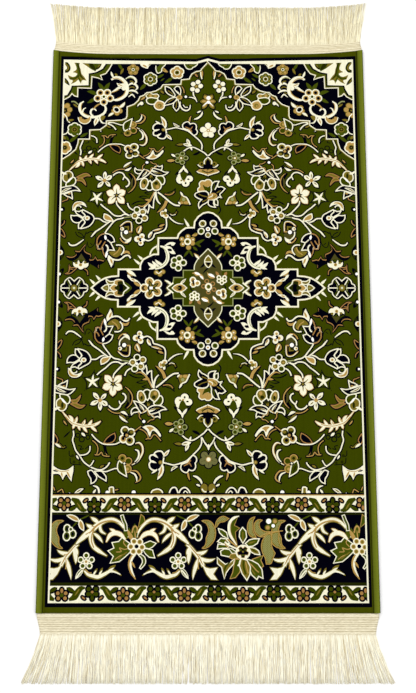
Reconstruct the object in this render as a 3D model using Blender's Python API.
"""Prayer rug: a woven pile body, two overcast side bindings and two sewn-on fringes.

Metres, +Z up, +Y towards the head end, the rug lying flat with its underside at z = 0.
Shapes are first worked out with y = 0 at the pile's foot edge, then all are moved so that
the origin is at the middle of the whole rug, fringes included.
"""

import math
import random

import bpy
from mathutils import Vector

# Driving dimensions
RUG_WIDTH = 0.650  # over both bindings
PILE_LENGTH = 1.146  # from the foot edge to the head edge of the pile, at the middle
PILE_HEIGHT = 0.0075  # underside to the top of the pile
PILE_EDGE_DRAFT = 0.0008  # how far the pile's two cut ends lean back
BINDING_WIDTH = 0.0112
BINDING_HEIGHT = 0.0070
PLAIN_END_LENGTH = 0.008  # cloth without pile, under each heading tape
PLAIN_END_THICKNESS = 0.0016
TAPE_THICKNESS = 0.0016
TAPE_STEP = 0.0045  # run over which a tape comes down from the plain end to the floor
GAP = 0.0003  # between pieces that touch

# The head end's corners reach a little further out than its middle
FLARE_REACH = 0.0085
FLARE_START = 0.200  # distance from the middle where the flare begins
FLARE_POWER = 1.8
FLARE_DEPTH = 0.070  # how far the flare works back into the pile

# The lengthwise crease that the rug keeps from being stored folded in half
CREASE_LIFT = 0.0030
CREASE_HALF_WIDTH = 0.026
CREASE_FADE = 0.060  # it has gone where the tapes hold the ends down

# Fringe locks
LOCKS_PER_END = 140
LOCK_SHARE = 0.74  # of the pitch, the rest is the space between two locks
LOCK_TIP_SHARE = 0.78  # width and thickness at the tip against the root
LOCK_STEPS = 3
LOCK_SHORTEST = 0.94  # the shortest lock against the longest
LOCK_SWAY = 0.0026  # how far whole groups of locks drift sideways at their tips
LOCK_SWAY_PERIODS = (31.0, 12.5)  # in locks
LOCK_JITTER = 0.0002
LOCK_BEND_POWER = 1.5  # a lock starts straight out and bends away towards its tip
FAN_POWER = 1.6  # how suddenly the fan grows towards the corner
TAPE_PANELS = 14  # lengths that a tape is divided into across the rug, to follow the flare

# One row for each end: which way it points, its tape and its locks
ENDS = (
    {
        "name": "fringe_head",
        "outward": 1,
        "tape_width": 0.0220,
        "tape_narrowing": 0.0020,
        "lock_length": 0.0880,
        "fan_reach": 0.0120,
        "fan_start": 0.240,
        "seed": 11,
    },
    {
        "name": "fringe_foot",
        "outward": -1,
        "tape_width": 0.0400,
        "tape_narrowing": 0.0070,
        "lock_length": 0.0890,
        "fan_reach": 0.0340,
        "fan_start": 0.215,
        "seed": 23,
    },
)

HALF_WIDTH = RUG_WIDTH / 2
PILE_HALF_WIDTH = HALF_WIDTH - BINDING_WIDTH - GAP

# Colours (linear RGB) and roughness
FINISHES = {
    "pile": ((0.062, 0.098, 0.008), 0.95),
    "binding": ((0.150, 0.215, 0.022), 0.85),
    "fringe": ((0.800, 0.720, 0.520), 0.80),
}


def clear_scene():
    """Remove whatever the file opened with."""
    for old in list(bpy.data.objects):
        bpy.data.objects.remove(old, do_unlink=True)


def finish(name):
    """Return the named finish as a material, made once."""
    if name in bpy.data.materials:
        return bpy.data.materials[name]
    colour, roughness = FINISHES[name]
    material = bpy.data.materials.new(name)
    material.use_nodes = True
    shader = material.node_tree.nodes["Principled BSDF"]
    shader.inputs["Base Color"].default_value = (*colour, 1.0)
    shader.inputs["Roughness"].default_value = roughness
    shader.inputs["Metallic"].default_value = 0.0
    return material


def add_object(name, points, faces, finish_name):
    """Make one closed body from its points and faces."""
    mesh = bpy.data.meshes.new(name)
    mesh.from_pydata(points, [], faces)
    mesh.validate()
    mesh.materials.append(finish(finish_name))
    made = bpy.data.objects.new(name, mesh)
    bpy.context.scene.collection.objects.link(made)
    return made


def smooth(share):
    """Ease from 0 to 1 as share goes from 0 to 1."""
    share = min(max(share, 0.0), 1.0)
    return share * share * (3.0 - 2.0 * share)


def flare(x):
    """How far the head edge reaches out past its middle, at distance x from the middle."""
    share = (abs(x) - FLARE_START) / (HALF_WIDTH - FLARE_START)
    return FLARE_REACH * max(share, 0.0) ** FLARE_POWER


def placed_y(x, y):
    """Move a point at rest in a plain rectangle out with the flare of the head end."""
    return y + flare(x) * smooth((y - PILE_LENGTH + FLARE_DEPTH) / FLARE_DEPTH)


def crease(x, y):
    """Height of the lengthwise crease: a cosine hump across, faded out towards both ends."""
    if abs(x) >= CREASE_HALF_WIDTH:
        return 0.0
    hump = 0.5 + 0.5 * math.cos(math.pi * x / CREASE_HALF_WIDTH)
    fade = smooth(y / CREASE_FADE) * smooth((PILE_LENGTH - y) / CREASE_FADE)
    return CREASE_LIFT * hump * fade


def spaced(start, end, count):
    """Return count + 1 evenly spaced numbers from start to end."""
    return [start + (end - start) * i / count for i in range(count + 1)]


def across_stations():
    """Distances across the pile: fine over the crease and towards the flared corners."""
    outer = spaced(PILE_HALF_WIDTH, FLARE_START, 6)
    inner = spaced(FLARE_START, CREASE_HALF_WIDTH, 3)[1:-1]
    half = outer + inner + spaced(CREASE_HALF_WIDTH, 0.0, 4)
    return [-x for x in half] + half[-2::-1]


def along_stations():
    """Distances along the pile: fine where the flare and the crease change."""
    foot = spaced(PILE_EDGE_DRAFT, CREASE_FADE, 4)
    middle = spaced(CREASE_FADE, PILE_LENGTH - FLARE_DEPTH, 6)[1:-1]
    head = spaced(PILE_LENGTH - FLARE_DEPTH, PILE_LENGTH - PILE_EDGE_DRAFT, 6)
    return foot + middle + head


def loft(rings):
    """Join rings of equal length into one closed body, with a flat face at each end."""
    size = len(rings[0])
    points = [point for ring in rings for point in ring]
    faces = [tuple(range(size)), tuple(reversed(range(len(points) - size, len(points))))]
    for row in range(len(rings) - 1):
        low = row * size
        for i in range(size):
            j = (i + 1) % size
            faces.append((low + j, low + i, low + size + i, low + size + j))
    return points, faces


def sheet(rows):
    """Join rows of (top, underside) point pairs into one closed sheet of quads."""
    count = len(rows[0])
    points = [point for row in rows for pair in row for point in pair]

    def top(row, i):
        return (row * count + i) * 2

    def under(row, i):
        return top(row, i) + 1

    faces = []
    last_row, last = len(rows) - 1, count - 1
    for row in range(last_row):
        for i in range(last):
            faces.append((top(row, i), top(row, i + 1), top(row + 1, i + 1), top(row + 1, i)))
            faces.append((under(row, i), under(row + 1, i), under(row + 1, i + 1), under(row, i + 1)))
        faces.append((under(row, 0), top(row, 0), top(row + 1, 0), under(row + 1, 0)))
        faces.append((top(row, last), under(row, last), under(row + 1, last), top(row + 1, last)))
    for i in range(last):
        faces.append((under(0, i), under(0, i + 1), top(0, i + 1), top(0, i)))
        faces.append((top(last_row, i), top(last_row, i + 1), under(last_row, i + 1), under(last_row, i)))
    return points, faces


def make_rug_body():
    """Make the patterned cloth: pile over its backing, and a plain end under each tape."""
    stations = [(y, PILE_HEIGHT) for y in along_stations()]
    foot = [(-PLAIN_END_LENGTH, PLAIN_END_THICKNESS), (0.0, PLAIN_END_THICKNESS)]
    head = [(PILE_LENGTH - y, thickness) for y, thickness in reversed(foot)]
    rows = []
    for y, thickness in foot + stations + head:
        row = []
        for x in across_stations():
            under = crease(x, y)
            row.append(((x, placed_y(x, y), under + thickness), (x, placed_y(x, y), under)))
        rows.append(row)
    return add_object("rug_body", *sheet(rows), "pile")


def binding_section():
    """Section of a binding as (across, up): a low bar, well rounded above and flat below."""
    top_radius, foot_radius, steps = 0.0034, 0.0010, 4
    corners = (
        (BINDING_WIDTH - foot_radius, foot_radius, foot_radius, -90),
        (BINDING_WIDTH - top_radius, BINDING_HEIGHT - top_radius, top_radius, 0),
        (top_radius, BINDING_HEIGHT - top_radius, top_radius, 90),
        (foot_radius, foot_radius, foot_radius, 180),
    )
    section = []
    for centre_x, centre_z, radius, start in corners:
        for step in range(steps + 1):
            angle = math.radians(start + 90 * step / steps)
            section.append((centre_x + radius * math.cos(angle), centre_z + radius * math.sin(angle)))
    return section


def make_binding(name, side):
    """Make one overcast edge beside the pile; side is -1 for the left and 1 for the right."""
    rings = []
    for y in [0.0, *along_stations(), PILE_LENGTH]:
        ring = []
        for across, up in binding_section():
            x = side * (PILE_HALF_WIDTH + GAP + across)
            ring.append((x, placed_y(x, y), up))
        rings.append(ring if side > 0 else list(reversed(ring)))
    return add_object(name, *loft(rings), "binding")


def tape_profile(width):
    """Return (distance out, underside height) pairs of a tape, from its sewn edge outwards."""
    sewn_height = PLAIN_END_THICKNESS + GAP
    return [
        (GAP, sewn_height),
        (PLAIN_END_LENGTH + GAP, sewn_height),
        (PLAIN_END_LENGTH + TAPE_STEP, 0.0),
        (width, 0.0),
    ]


class Fringe:
    """One heading tape with its row of locks, as a single closed body."""

    def __init__(self, row):
        self.row = row
        self.points = []
        self.faces = []
        self.draws = random.Random(row["seed"])

    def half_width(self, out):
        """Half the tape's width: it draws in towards its outer edge."""
        share = min(out / self.row["tape_width"], 1.0)
        return HALF_WIDTH - self.row["tape_narrowing"] * smooth(share)

    def put(self, side, out, up):
        """Add a point at side (-1 to 1) across, out from the pile's edge, and return its number."""
        return self.put_at(side * self.half_width(out), out, up)

    def put_at(self, x, out, up):
        """Add a point at x, out from the pile's edge, and return its number."""
        if self.row["outward"] > 0:
            y = placed_y(x, PILE_LENGTH + out)
        else:
            y = -out
        self.points.append((x, y, up))
        return len(self.points) - 1

    def face(self, *corners):
        """Add a face; the foot end is a mirror image, so its corners run the other way."""
        self.faces.append(corners if self.row["outward"] > 0 else tuple(reversed(corners)))

    def root_sides(self):
        """Positions across (-1 to 1) where locks begin and end, from left to right."""
        pitch = 2.0 / LOCKS_PER_END
        margin = pitch * (1.0 - LOCK_SHARE) / 2
        cuts = []
        for lock in range(LOCKS_PER_END):
            start = -1.0 + lock * pitch
            cuts += [start + margin, start + pitch - margin]
        return cuts

    def build_tape(self):
        """Make the tape, with its outer edge divided where the locks grow out of it."""
        profile = tape_profile(self.row["tape_width"])
        panels = spaced(-1.0, 1.0, TAPE_PANELS)
        rows = []
        for out, up in profile[:-1]:
            top = [self.put(side, out, up + TAPE_THICKNESS) for side in panels]
            under = [self.put(side, out, up) for side in panels]
            rows.append((top, under))
        out, up = profile[-1]
        marks = sorted(set(panels) | set(self.root_sides()))
        rim_top = {side: self.put(side, out, up + TAPE_THICKNESS) for side in marks}
        rim_under = {side: self.put(side, out, up) for side in marks}
        for (top, under), (next_top, next_under) in zip(rows, rows[1:]):
            for i in range(len(panels) - 1):
                self.face(top[i], top[i + 1], next_top[i + 1], next_top[i])
                self.face(under[i + 1], under[i], next_under[i], next_under[i + 1])
            self.face(top[0], next_top[0], next_under[0], under[0])
            self.face(next_top[-1], top[-1], under[-1], next_under[-1])
        top, under = rows[-1]
        for i in range(len(panels) - 1):
            between = [side for side in marks if panels[i] <= side <= panels[i + 1]]
            self.face(top[i], top[i + 1], *[rim_top[side] for side in reversed(between)])
            self.face(under[i + 1], under[i], *[rim_under[side] for side in between])
        self.face(top[0], rim_top[-1.0], rim_under[-1.0], under[0])
        self.face(rim_top[1.0], top[-1], under[-1], rim_under[1.0])
        top, under = rows[0]
        for i in range(len(panels) - 1):
            self.face(top[i + 1], top[i], under[i], under[i + 1])
        return marks, rim_top, rim_under

    def fan(self, x):
        """How far a lock's tip spreads sideways: the outer locks fan out round the corner."""
        share = max(abs(x) - self.row["fan_start"], 0.0) / (HALF_WIDTH - self.row["fan_start"])
        return math.copysign(self.row["fan_reach"] * share**FAN_POWER, x)

    def sway(self, lock):
        """Sideways drift of a lock's tip, shared by its neighbours."""
        waves = [math.sin(2 * math.pi * lock / period) for period in LOCK_SWAY_PERIODS]
        return LOCK_SWAY * sum(waves) / len(waves) + self.draws.uniform(-LOCK_JITTER, LOCK_JITTER)

    def build_lock(self, lock, root):
        """Carry one lock out from its four root points: top left, top right, under right, under left."""
        width_out = self.row["tape_width"]
        left, right = self.points[root[0]][0], self.points[root[1]][0]
        middle, half = (left + right) / 2, (right - left) / 2
        length = self.row["lock_length"] * self.draws.uniform(LOCK_SHORTEST, 1.0)
        drift = self.fan(middle) + self.sway(lock)
        ring = root
        for step in range(1, LOCK_STEPS + 1):
            share = step / LOCK_STEPS
            size = 1.0 + (LOCK_TIP_SHARE - 1.0) * share
            centre = middle + drift * share**LOCK_BEND_POWER
            out = width_out + length * share
            top = TAPE_THICKNESS * size
            ahead = [
                self.put_at(centre - half * size, out, top),
                self.put_at(centre + half * size, out, top),
                self.put_at(centre + half * size, out, 0.0),
                self.put_at(centre - half * size, out, 0.0),
            ]
            for i in range(4):
                j = (i + 1) % 4
                self.face(ring[i], ring[j], ahead[j], ahead[i])
            ring = ahead
        self.face(*ring)

    def build(self):
        """Make the whole fringe and return its object."""
        marks, rim_top, rim_under = self.build_tape()
        starts = self.root_sides()[0::2]
        for lock_or_gap in range(len(marks) - 1):
            left, right = marks[lock_or_gap], marks[lock_or_gap + 1]
            root = [rim_top[left], rim_top[right], rim_under[right], rim_under[left]]
            if left in starts:
                self.build_lock(starts.index(left), root)
            else:
                self.face(*root)
        return add_object(self.row["name"], self.points, self.faces, "fringe")


def centre_on_origin(objects):
    """Shift every mesh so that the origin is under the middle of the whole rug."""
    corners = [vertex.co for made in objects for vertex in made.data.vertices]
    low = Vector(min(corner[axis] for corner in corners) for axis in range(3))
    high = Vector(max(corner[axis] for corner in corners) for axis in range(3))
    shift = Vector((-(low.x + high.x) / 2, -(low.y + high.y) / 2, -low.z))
    for made in objects:
        for vertex in made.data.vertices:
            vertex.co += shift


def main():
    clear_scene()
    pieces = [
        make_rug_body(),
        make_binding("side_binding_left", -1),
        make_binding("side_binding_right", 1),
    ]
    pieces += [Fringe(row).build() for row in ENDS]
    centre_on_origin(pieces)


main()
